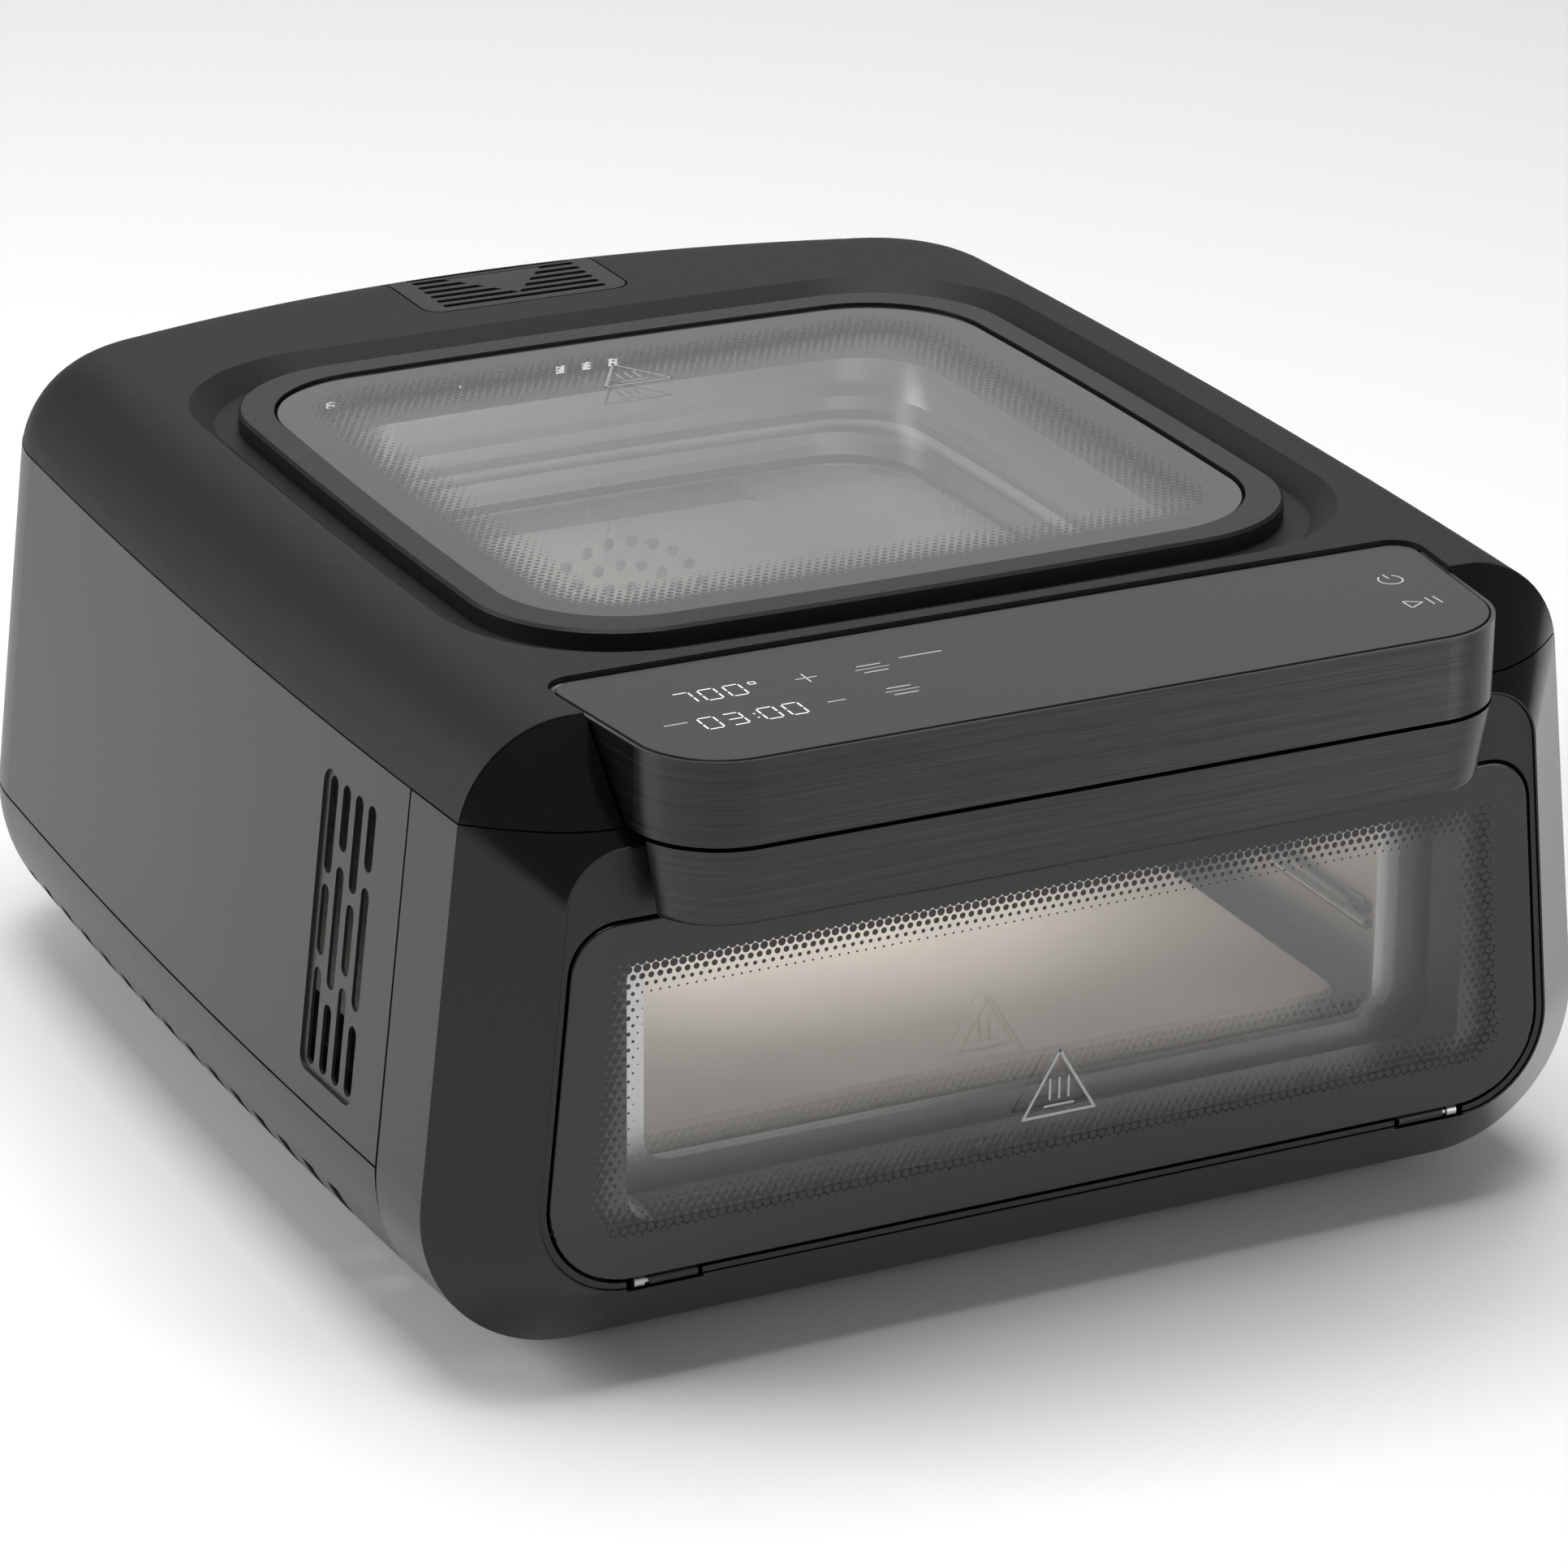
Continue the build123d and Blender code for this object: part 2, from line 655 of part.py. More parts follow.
heater_upper = heater(HEAT_UP_Z, 145, -196, 120)
save(heater_upper, "heater_upper")
heater_lower = heater(HEAT_LOW_Z, 95, -150, 120)
save(heater_lower, "heater_lower")

with BuildPart() as temperature_probe:
    with Locations(Location((-140, CAV_BACK - 8, 150), (90, 0, 0))):
        Cylinder(2.0, 62)
save(temperature_probe, "temperature_probe")

with BuildPart() as fan_baffle:
    with BuildSketch(Plane.XZ.offset(-CAV_BACK)):
        with Locations((0, FAN_Z)):
            RectangleRounded(150, 104, 20)
    extrude(amount=18)
    with BuildSketch(Plane.XZ.offset(-CAV_BACK)):
        with Locations((0, FAN_Z)):
            RectangleRounded(148, 102, 19)
    extrude(amount=17, mode=Mode.SUBTRACT)
    with BuildSketch(Plane.XZ.offset(-CAV_BACK + 30)):
        with Locations((0, FAN_Z)):
            Circle(3.5)
            for radius, count in ((12, 8), (22, 14), (32, 20), (42, 26)):
                with PolarLocations(radius, count):
                    Circle(2.6)
    extrude(amount=-40, mode=Mode.SUBTRACT)
save(fan_baffle, "fan_baffle")

with BuildPart() as convection_fan:
    with Locations(Location((0, CAV_BACK - 7.5, FAN_Z), (90, 0, 0))):
        Cylinder(7.0, 9.0)
    with Locations(Location((0, CAV_BACK + 6.0, FAN_Z), (90, 0, 0))):
        Cylinder(2.5, 36.0)
    with BuildSketch(Plane.XZ.offset(-CAV_BACK + 3.5)):
        with Locations((0, FAN_Z)):
            with PolarLocations(24, 8):
                Rectangle(38, 1.4, rotation=18)
    extrude(amount=7.5)
save(convection_fan, "convection_fan")

with BuildPart() as fan_motor:
    with Locations(Location((0, CAV_BACK + 44.0, FAN_Z), (90, 0, 0))):
        Cylinder(26, 34)
    with Locations(Location((0, CAV_BACK + 26.0, FAN_Z), (90, 0, 0))):
        Cylinder(34, 2.0)
    with Locations((0, CAV_BACK + 26.0, FAN_Z)):
        Box(110, 2.0, 16)
    with Locations(*[(x, CAV_BACK + 13.0, FAN_Z) for x in (-50, 50)]):
        Box(8, 24.0, 16)
    with Locations(Location((0, CAV_BACK + 25.0, FAN_Z), (90, 0, 0))):
        Cylinder(2.55, 60, mode=Mode.SUBTRACT)
save(fan_motor, "fan_motor")

# Insulation blankets round the cavity
BLANKET = 9.0
with BuildPart() as insulation:
    with BuildSketch(Plane.XZ.offset(-CAV_BACK + 4)):
        with Locations((0, (CAV_FLOOR + CAV_TOP) / 2)):
            RectangleRounded(
                2 * (CAV_X + SHEET + BLANKET), CAV_TOP - CAV_FLOOR + 2 * (SHEET + BLANKET), 20
            )
            RectangleRounded(
                2 * (CAV_X + SHEET), CAV_TOP - CAV_FLOOR + 2 * SHEET, 13, mode=Mode.SUBTRACT
            )
    extrude(amount=CAV_LENGTH - 10)
    with BuildSketch(Plane.XY.offset(CAV_TOP - 5)):
        with Locations((0, WIN_Y)):
            soft_square(152, 150, 46)
    extrude(amount=40, mode=Mode.SUBTRACT)
save(insulation, "insulation")

# Chassis and what it carries
with BuildPart() as chassis_plate:
    with BuildSketch(Plane.XY.offset(Z_BASE + 3.2)):
        with Locations((0, 23)):
            RectangleRounded(330, 376, 20)
    extrude(amount=1.6)
    # Posts under the oven
    with Locations(*[(x, y, Z_BASE + 3.2) for x in (-140, 140) for y in (-150, 100)]):
        Cylinder(5, CAV_FLOOR - SHEET - BLANKET - Z_BASE - 3.2, align=(Align.CENTER, Align.CENTER, Align.MIN))
    with Locations(*[(x, y, Z_BASE) for x, y in FEET]):
        Cylinder(2.2, 20, mode=Mode.SUBTRACT)
save(chassis_plate, "chassis_plate")

with BuildPart() as feet_screws:
    for x, y in FEET:
        with Locations((x, y, 2.6)):
            Cylinder(4.4, 2.4, align=(Align.CENTER, Align.CENTER, Align.MIN))
            Cylinder(2.1, 12.0, align=(Align.CENTER, Align.CENTER, Align.MIN))
save(feet_screws, "feet_screws")

with BuildPart() as power_board:
    with Locations((-110, 193, 60)):
        Box(110, 64, 1.6)
    with Locations((-135, 193, 72.8)):
        Box(34, 30, 24.0)
    with Locations((-92, 208, 68.8)):
        Box(20, 20, 16.0)
    with Locations((-92, 178, 70.8)):
        Cylinder(8, 20)
    with Locations(*[(x, y, 36.0) for x in (-136, -62) for y in (172, 204)]):
        Cylinder(3, 46.4)
save(power_board, "power_board")

with BuildPart() as power_inlet:
    with BuildSketch(Plane.XZ.offset(-289.0)):
        with Locations((INLET_X, INLET_Z)):
            RectangleRounded(27, 20, 2.7)
    extrude(amount=18.0)
    with Locations((INLET_X, 274.0, INLET_Z)):
        Box(36.0, 6.0, 30.0)
    with BuildSketch(Plane.XZ.offset(-289.0)):
        with Locations((INLET_X, INLET_Z)):
            RectangleRounded(22, 15, 2)
    extrude(amount=13, mode=Mode.SUBTRACT)
    with Locations(*[(INLET_X + x, 280, INLET_Z + z) for x, z in ((-6, 2), (0, -3), (6, 2))]):
        Box(2, 9, 4)
save(power_inlet, "power_inlet")

COOL_X = -20.0
COOL_Z = 168.0
with BuildPart() as cooling_fan_frame:
    with Locations((COOL_X, 256, COOL_Z)):
        Box(84, 20, 84)
    with Locations(Location((COOL_X, 256, COOL_Z), (90, 0, 0))):
        Cylinder(38.5, 30, mode=Mode.SUBTRACT)
    with Locations((COOL_X, 247.0, COOL_Z)):
        Box(80, 2, 5)
        Box(5, 2, 80)
    with Locations(Location((COOL_X, 247.0, COOL_Z), (90, 0, 0))):
        Cylinder(12, 2)
    with Locations(Location((COOL_X, 249, COOL_Z), (90, 0, 0))):
        Cylinder(2.05, 30, mode=Mode.SUBTRACT)
save(cooling_fan_frame, "cooling_fan_frame")

with BuildPart() as cooling_fan:
    with Locations(Location((COOL_X, 257.0, COOL_Z), (90, 0, 0))):
        Cylinder(13, 16)
    with Locations(Location((COOL_X, 250.0, COOL_Z), (90, 0, 0))):
        Cylinder(2.0, 10)
    for turn in range(7):
        spot = Location((COOL_X, 257.0, COOL_Z), (90, 0, 0)) * Location((0, 0, 0), (0, 0, turn * 360 / 7))
        with Locations(spot * Location((24, 0, 0), (35, 0, 0))):
            Box(24.5, 16, 1.6)
save(cooling_fan, "cooling_fan")

# Door. It hinges on two pins just behind the lower edge of its glass.

with BuildPart() as door_glass_outer:
    with BuildSketch(Plane.XZ.offset(-Y_FACE)):
        front_outline(DOOR)
    extrude(amount=-4.0)
    fillet(door_glass_outer.edges().group_by(Axis.Y)[0], radius=0.8)
save(door_glass_outer, "door_glass_outer")

WINDOW_LOW = 66.0
WINDOW_HIGH = 172.0
FRAME_BACK = -227.0
with BuildPart() as door_frame:
    with BuildSketch(Plane.XZ.offset(-Y_FACE - 4.2)):
        front_outline(DOOR, -3.0)
        with Locations((0, (WINDOW_LOW + WINDOW_HIGH) / 2)):
            RectangleRounded(344, WINDOW_HIGH - WINDOW_LOW, 12, mode=Mode.SUBTRACT)
    extrude(amount=Y_FACE + 4.2 - FRAME_BACK)
    # Pockets round the hinge arms
    for side in (-1, 1):
        with Locations((side * 169, Y_FACE + 4.2 + 20, 50)):
            Box(9, 40, 22, mode=Mode.SUBTRACT)
        # Hinge knuckle and the ear that carries it
        with Locations(Location((side * 155.5, PIVOT_Y, PIVOT_Z), (0, 90, 0))):
            Cylinder(2.0, 19)
        with Locations((side * 155.5, PIVOT_Y + 4.0, PIVOT_Z)):
            Box(19, 8, 3.0)
        with Locations((side * 155.5, PIVOT_Y + 5.4, PIVOT_Z + 3.6)):
            Box(19, 5.2, 9.0)
    with Locations(Location((0, PIVOT_Y, PIVOT_Z), (0, 90, 0))):
        Cylinder(1.25, 372, mode=Mode.SUBTRACT)
    # Seat of the inner glass
    with Locations((0, FRAME_BACK - 3.0, (WINDOW_LOW + WINDOW_HIGH) / 2)):
        Box(353, 6.0, 113, mode=Mode.SUBTRACT)
    for side in (-1, 1):
        with Locations((side * POST_X, -234.9, 182.5)):
            Box(14, 16.2, 15, mode=Mode.SUBTRACT)
save(door_frame, "door_frame")

with BuildPart() as door_glass_inner:
    with Locations((0, FRAME_BACK - 3.8, (WINDOW_LOW + WINDOW_HIGH) / 2)):
        Box(352, 4.0, 112)
    fillet(door_glass_inner.edges().filter_by(Axis.Y), radius=2.0)
save(door_glass_inner, "door_glass_inner")

with BuildPart() as door_inner_panel:
    with BuildSketch(Plane.XZ.offset(-FRAME_BACK - 0.1)):
        front_outline(DOOR, -4.0)
        with Locations((0, 120)):
            RectangleRounded(304, 92, 10, mode=Mode.SUBTRACT)
        with Locations((-169, 52), (169, 52)):
            Rectangle(10, 20, mode=Mode.SUBTRACT)
    extrude(amount=-1.6)
save(door_inner_panel, "door_inner_panel")


def handle_outline(grow):
    console_outline(grow)
    with Locations((0, -168)):
        Rectangle(500, 200, mode=Mode.SUBTRACT)


HANDLE_LOW = 188.0
HANDLE_HIGH = 218.0
with BuildPart() as handle_block:
    with BuildSketch(Plane.XY.offset(HANDLE_LOW)):
        handle_outline(-4.0)
    with BuildSketch(Plane.XY.offset(HANDLE_HIGH)):
        handle_outline(0.2)
    loft()
    low_rim = handle_block.edges().group_by(Axis.Z)[0]
    fillet([edge for edge in low_rim if edge.center().Y < -268.5], radius=3.0)

with BuildPart() as handle_band:
    add(handle_block.part)
    with BuildPart(mode=Mode.SUBTRACT):
        with BuildSketch(Plane.XY.offset(HANDLE_LOW + 1.4)):
            handle_outline(-5.6)
        with BuildSketch(Plane.XY.offset(HANDLE_HIGH + 0.1)):
            handle_outline(-1.3)
        loft()
        with Locations((0, -267, 205)):
            Box(322, 12, 31.2)
save(handle_band, "handle_band")

with BuildPart() as handle_core:
    with BuildSketch(Plane.XY.offset(HANDLE_LOW + 1.6)):
        handle_outline(-6.0)
    with BuildSketch(Plane.XY.offset(HANDLE_HIGH - 0.6)):
        handle_outline(-1.8)
    loft()
    with Locations(*[Location((x, -270, 202), (90, 0, 0)) for x in (-POST_X, POST_X)]):
        Cylinder(2.0, 24, mode=Mode.SUBTRACT)
save(handle_core, "handle_core")

with BuildPart() as handle_posts:
    for side in (-1, 1):
        with Locations((side * POST_X, -235.0, 179.5)):
            Box(14, 16, 9)
        with Locations((side * POST_X, -239.0, 191.0)):
            Box(14, 8, 32)
        with Locations((side * POST_X, -252.0, 202)):
            Box(14, 32, 10)
    with Locations(*[Location((x, -250, 202), (90, 0, 0)) for x in (-POST_X, POST_X)]):
        Cylinder(2.0, 50, mode=Mode.SUBTRACT)
save(handle_posts, "handle_posts")

with BuildPart() as handle_screws:
    for x in (-POST_X, POST_X):
        with Locations(Location((x, -256, 202), (90, 0, 0))):
            Cylinder(1.95, 42)
        with Locations(Location((x, -233.8, 202), (90, 0, 0))):
            Cylinder(3.6, 2.4)
save(handle_screws, "handle_screws")


def hinge_bracket(side):
    with BuildPart() as bracket:
        # Arm forward over the gutter, then down and forward to the pin
        with BuildSketch(Plane.YZ.offset(side * 167.0)):
            with Locations(((-219.8 - 250.0) / 2, BRACKET_Z)):
                Rectangle(30.2, 6.6)
            with Locations((-249.5, (PIVOT_Z + BRACKET_Z + 1.5) / 2)):
                Rectangle(5, BRACKET_Z - PIVOT_Z + 5.1)
            with Locations(((PIVOT_Y - 248.0) / 2, PIVOT_Z)):
                Rectangle(-248.0 - PIVOT_Y, 3.6)
            with Locations((PIVOT_Y, PIVOT_Z)):
                Circle(2.0)
        extrude(amount=side * 4.0)
        with Locations((side * 174, CAV_FRONT - 2.0, BRACKET_Z)):
            Box(20, 1.6, 11)
        with Locations(Location((side * 178, CAV_FRONT, BRACKET_Z), (90, 0, 0))):
            Cylinder(1.6, 20, mode=Mode.SUBTRACT)
        with Locations(Location((side * 169, PIVOT_Y, PIVOT_Z), (0, 90, 0))):
            Cylinder(1.2, 20, mode=Mode.SUBTRACT)
    return bracket


hinge_bracket_left = hinge_bracket(-1)
save(hinge_bracket_left, "hinge_bracket_left")
hinge_bracket_right = hinge_bracket(1)
save(hinge_bracket_right, "hinge_bracket_right")

with BuildPart() as hinge_pins:
    for side in (-1, 1):
        with Locations(Location((side * 159, PIVOT_Y, PIVOT_Z), (0, 90, 0))):
            Cylinder(1.2, 24)
save(hinge_pins, "hinge_pins")

with BuildPart() as hinge_screws:
    for side in (-1, 1):
        with Locations(Location((side * 178, -221.0, BRACKET_Z), (90, 0, 0))):
            Cylinder(1.55, 8)
        with Locations(Location((side * 178, -222.2, BRACKET_Z), (90, 0, 0))):
            Cylinder(2.8, 1.6)
save(hinge_screws, "hinge_screws")

with BuildPart() as rear_screws:
    for x, z in ((-108, 92), (108, 92), (-108, 206), (108, 206)):
        outside = Y_REAR - 44.5 * (x / 239.0) ** 2
        with Locations(Location((x, outside + 0.75, z), (90, 0, 0))):
            Cylinder(3.6, 1.6, align=(Align.CENTER, Align.CENTER, Align.MAX))
            Cylinder(1.8, 8, align=(Align.CENTER, Align.CENTER, Align.MIN))
save(rear_screws, "rear_screws")
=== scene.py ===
"""Countertop pizza oven and air fryer on a pale floor.

The shell, door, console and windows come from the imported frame. This script gives them their finishes
and adds the thin prints on the console, the door glass and the window in the top.
Metres. +X is the oven's right side, -Y its front, +Z up.
"""

import json
import math

import bmesh
import bpy
from mathutils import Matrix, Vector


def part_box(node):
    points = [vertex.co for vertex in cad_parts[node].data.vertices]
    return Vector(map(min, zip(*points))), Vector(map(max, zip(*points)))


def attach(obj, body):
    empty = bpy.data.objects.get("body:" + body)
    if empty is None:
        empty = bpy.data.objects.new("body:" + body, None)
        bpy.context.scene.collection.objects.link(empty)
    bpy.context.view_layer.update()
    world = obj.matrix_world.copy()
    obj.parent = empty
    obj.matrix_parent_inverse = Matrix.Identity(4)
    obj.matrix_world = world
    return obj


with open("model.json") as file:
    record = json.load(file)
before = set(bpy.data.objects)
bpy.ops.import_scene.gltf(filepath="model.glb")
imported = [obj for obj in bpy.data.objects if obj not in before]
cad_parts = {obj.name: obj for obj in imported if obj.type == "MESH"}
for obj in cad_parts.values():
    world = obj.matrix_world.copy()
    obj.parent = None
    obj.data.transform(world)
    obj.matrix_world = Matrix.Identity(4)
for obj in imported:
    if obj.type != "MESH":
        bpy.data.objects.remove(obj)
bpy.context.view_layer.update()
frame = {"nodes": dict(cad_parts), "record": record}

MM = 0.001
HEAD_ON_GLOSS = 0.04  # share of light that glass mirrors when seen straight on


# Shader arithmetic

class Val:
    """A shader value, so that a finish is written as plain arithmetic."""

    def __init__(self, finish, socket):
        self.finish = finish
        self.socket = socket

    def __add__(self, other):
        return self.finish.math("ADD", self, other)

    def __radd__(self, other):
        return self.finish.math("ADD", other, self)

    def __sub__(self, other):
        return self.finish.math("SUBTRACT", self, other)

    def __rsub__(self, other):
        return self.finish.math("SUBTRACT", other, self)

    def __mul__(self, other):
        return self.finish.math("MULTIPLY", self, other)

    def __rmul__(self, other):
        return self.finish.math("MULTIPLY", other, self)

    def __truediv__(self, other):
        return self.finish.math("DIVIDE", self, other)

    def __lt__(self, other):
        return self.finish.math("LESS_THAN", self, other)

    def __gt__(self, other):
        return self.finish.math("GREATER_THAN", self, other)

    def __getitem__(self, output):
        return Val(self.finish, self.socket.node.outputs[output])


class Finish:
    """One procedural material, built node by node."""

    def __init__(self, name):
        self.material = bpy.data.materials.new(name)
        self.material.use_nodes = True
        self.tree = self.material.node_tree
        self.tree.nodes.clear()
        self.place = self.node("ShaderNodeTexCoord", output="Object")

    def node(self, kind, settings=None, sockets=None, output=0):
        """Adds a node: its settings first, then the values or links of its sockets."""
        made = self.tree.nodes.new(kind)
        for name, value in (settings or {}).items():
            if name == "stops":
                ramp = made.color_ramp
                while len(ramp.elements) < len(value):
                    ramp.elements.new(1.0)
                for element, (position, level) in zip(ramp.elements, value):
                    element.position = position
                    element.color = (level, level, level, 1)
            else:
                setattr(made, name, value)
        for name, value in (sockets or {}).items():
            if isinstance(value, Val):
                self.tree.links.new(value.socket, made.inputs[name])
            else:
                made.inputs[name].default_value = value
        return Val(self, made.outputs[output])

    def math(self, operation, first, second=0.0):
        return self.node("ShaderNodeMath", {"operation": operation}, {0: first, 1: second})

    def larger(self, first, second):
        return self.math("MAXIMUM", first, second)

    def smaller(self, first, second):
        return self.math("MINIMUM", first, second)

    def root(self, value):
        return self.math("SQRT", value)

    def blend(self, mask, first, second):
        """Goes from the first colour to the second as the mask rises."""
        return self.node(
            "ShaderNodeMix",
            {"data_type": "RGBA"},
            {0: mask, 6: opaque(first), 7: opaque(second)},
            output=2,
        )

    def noise(self, size, detail=2.0):
        """Noise whose patches are about that size along X, Y and Z."""
        scaled = self.node(
            "ShaderNodeVectorMath",
            {"operation": "MULTIPLY"},
            {0: self.place, 1: tuple(1 / s for s in size)},
        )
        return self.node("ShaderNodeTexNoise", {}, {"Vector": scaled, "Scale": 1.0, "Detail": detail})

    def cell_edges(self, size):
        """Distance to the nearest border between cells of about that size."""
        return self.node(
            "ShaderNodeTexVoronoi",
            {"feature": "DISTANCE_TO_EDGE"},
            {"Vector": self.place, "Scale": 1 / size},
        )["Distance"]

    def axes(self):
        split = self.node("ShaderNodeSeparateXYZ", {}, {0: self.place})
        return split["X"], split["Y"], split["Z"]

    def pane_gloss(self):
        """How strongly a pane mirrors, the same from both of its sides."""
        facing = self.node("ShaderNodeLayerWeight", {}, {"Blend": 0.5}, output="Facing")
        return self.math("POWER", facing, 5.0) * (1 - HEAD_ON_GLOSS) + HEAD_ON_GLOSS

    def relief(self, height, depth):
        sockets = {"Height": height, "Distance": depth, "Strength": 1.0}
        return self.node("ShaderNodeBump", {}, sockets, output="Normal")

    def surface(self, colour, roughness, **sockets):
        """Closes the finish. Further sockets are named with _ for a space."""
        values = {"Base Color": opaque(colour), "Roughness": roughness}
        for name, value in sockets.items():
            values[name.replace("_", " ")] = value
        shader = self.node("ShaderNodeBsdfPrincipled", {}, values)
        closing = self.tree.nodes.new("ShaderNodeOutputMaterial")
        self.tree.links.new(shader.socket, closing.inputs["Surface"])
        return self.material


def opaque(colour):
    return colour if isinstance(colour, Val) else (*colour, 1.0)


def grey(level, warm=0.0):
    """A grey of that linear brightness, tipped towards red by warm."""
    return (level * (1 + warm), level, level * (1 - warm))


def shade(colour, factor):
    return tuple(min(1.0, c * factor) for c in colour)


def even(size):
    return (size, size, size)


# Finishes

def moulded_plastic(name, colour, roughness, grain, depth, shine=0.5):
    """Plastic with a fine moulded grain."""
    finish = Finish(name)
    speckle = finish.noise(even(grain), detail=3.0)
    mottled = finish.blend(speckle, shade(colour, 0.75), shade(colour, 1.25))
    return finish.surface(
        mottled,
        speckle * 0.16 + (roughness - 0.08),
        Normal=finish.relief(speckle, depth),
        Specular_IOR_Level=shine,
    )


def satin_shell(name, colour, roughness):
    """Smooth satin plastic with a faint long-range waviness."""
    finish = Finish(name)
    drift = finish.noise(even(0.15))
    fine = finish.noise(even(0.0011), detail=3.0)
    return finish.surface(
        finish.blend(drift, shade(colour, 0.94), shade(colour, 1.06)),
        drift * 0.05 + (roughness - 0.025),
        Normal=finish.relief(fine, 0.000008),
        Specular_IOR_Level=0.40,
    )


def polished_plastic(name, colour, roughness):
    finish = Finish(name)
    drift = finish.noise(even(0.08))
    return finish.surface(
        finish.blend(drift, shade(colour, 0.9), shade(colour, 1.1)),
        drift * 0.06 + (roughness - 0.03),
        Specular_IOR_Level=0.38,
    )


def brushed_sheet(name, colour, roughness, length, depth, contrast=0.5, grip=0.0):
    """Metal brushed so that each streak has that length along X, Y and Z.

    Grip is how far its shine is drawn out across the streaks."""
    finish = Finish(name)
    streak = finish.noise(length, detail=4.0)
    broad = finish.noise(tuple(s * 5 for s in length), detail=2.0)
    both = streak * 0.7 + broad * 0.3
    return finish.surface(
        finish.blend(both, shade(colour, 1 - contrast), shade(colour, 1 + contrast)),
        both * 0.3 + (roughness - 0.15),
        Metallic=1.0,
        Normal=finish.relief(streak, depth),
        Anisotropic=grip,
        Anisotropic_Rotation=0.25,
    )


def plain_metal(name, colour, roughness, patch=0.01):
    finish = Finish(name)
    patches = finish.noise(even(patch), detail=4.0)
    return finish.surface(
        finish.blend(patches, shade(colour, 0.85), shade(colour, 1.1)),
        patches * 0.2 + (roughness - 0.1),
        Metallic=1.0,
    )


def fired_stone(name, colour):
    finish = Finish(name)
    cloud = finish.noise(even(0.05), detail=4.0)
    pits = finish.noise(even(0.0012), detail=2.0)
    return finish.surface(
        finish.blend(cloud * 0.6 + pits * 0.4, shade(colour, 0.84), shade(colour, 1.14)),
        0.8,
        Normal=finish.relief(pits, 0.00008),
    )


def braided_cord(name, colour, strand):
    """Woven strands: two sets of slanting ridges."""
    finish = Finish(name)
    x, y, z = finish.axes()
    turn = 2 * math.pi / strand
    one = finish.math("SINE", (x + y + z) * turn)
    two = finish.math("SINE", (x + y - z) * turn)
    weave = one * two * 0.5 + 0.5
    # The colour follows the weave's relief: painted shade in its hollows between strands, and painted
    # light on its raised parts.
    return finish.surface(
        finish.blend(weave, shade(colour, 0.45), shade(colour, 1.3)),
        0.75,
        Normal=finish.relief(weave, 0.0003),
    )


def loose_wool(name, colour):
    finish = Finish(name)
    tuft = finish.noise(even(0.004), detail=5.0)
    return finish.surface(
        finish.blend(tuft, shade(colour, 0.6), shade(colour, 1.15)),
        0.95,
        Normal=finish.relief(tuft, 0.0006),
    )


def circuit_board(name, colour):
    """Solder mask with lighter traces under it."""
    finish = Finish(name)
    traces = finish.cell_edges(0.004)
    return finish.surface(
        finish.blend(traces > 0.06, shade(colour, 1.8), colour),
        0.35,
        Normal=finish.relief(traces, 0.00005),
    )


def soft_rubber(name, colour, roughness):
    finish = Finish(name)
    fine = finish.noise(even(0.0008), detail=2.0)
    return finish.surface(
        finish.blend(fine, shade(colour, 0.8), shade(colour, 1.2)),
        roughness,
        Normal=finish.relief(fine, 0.00003),
    )


DOT_PITCH = 3.5 * MM


def dot_reach(finish, across, along):
    """Distance to the nearest dot of a staggered grid."""
    row = DOT_PITCH * math.sqrt(3)
    reach = []
    for shift in (0.5, 1.0):
        side = (finish.math("FRACT", across / DOT_PITCH + shift) - 0.5) * DOT_PITCH
        rise = (finish.math("FRACT", along / row + shift) - 0.5) * row
        reach.append(finish.root(side * side + rise * rise))
    return finish.smaller(*reach)


def edge_distance(finish, side, rise, corner):
    """Distance in from a rounded outline whose straight edges are side and rise away."""
    past_side = corner - side
    past_rise = corner - rise
    round_side = finish.larger(past_side, 0.0)
    round_rise = finish.larger(past_rise, 0.0)
    arc = finish.root(round_side * round_side + round_rise * round_rise)
    flat = finish.smaller(finish.larger(past_side, past_rise), 0.0)
    return corner - arc - flat


def printed_glass(finish, edge, across, along, face, solid, band, ink, haze, tint):
    """Clear pane with a solid print along its edge, and rows of dots that shrink away from it.

    The dots are on the outer face only, where face is 1."""
    fade = (edge - solid) / band
    dot = dot_reach(finish, across, along) < (1 - fade) * (0.52 * DOT_PITCH)
    printed = finish.larger(edge < solid, dot * (edge < solid + band)) * face
    return clear_or_printed(finish, printed, ink, haze, tint)


def clear_or_printed(finish, printed, ink, haze, tint):
    """Where it isn't printed, the pane only shines: it is a mirror as strong as its gloss."""
    gloss = finish.pane_gloss()
    return finish.surface(
        finish.blend(printed, tint, ink),
        printed * 0.1 + 0.03,
        Metallic=1 - printed,
        Alpha=finish.larger(gloss + haze, printed),
    )


def door_pane(name, ink):
    """Outer glass of the door. Its sides lean in towards the top."""
    lean = 0.10
    low_corner, high_corner = 32 * MM, 18 * MM
    low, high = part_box("door_glass_outer")
    finish = Finish(name)
    x, y, z = finish.axes()
    half = (low.z + low_corner - z) * lean + high.x
    side = half - finish.math("ABSOLUTE", x)
    from_low = z - low.z
    from_high = high.z - z
    corner = (from_low < from_high) * (low_corner - high_corner) + high_corner
    edge = edge_distance(finish, side, finish.smaller(from_low, from_high), corner)
    face = y < low.y + 1.5 * MM
    return printed_glass(finish, edge, x, z, face, 15.5 * MM, 15.5 * MM, ink, 0.0, grey(0.8))


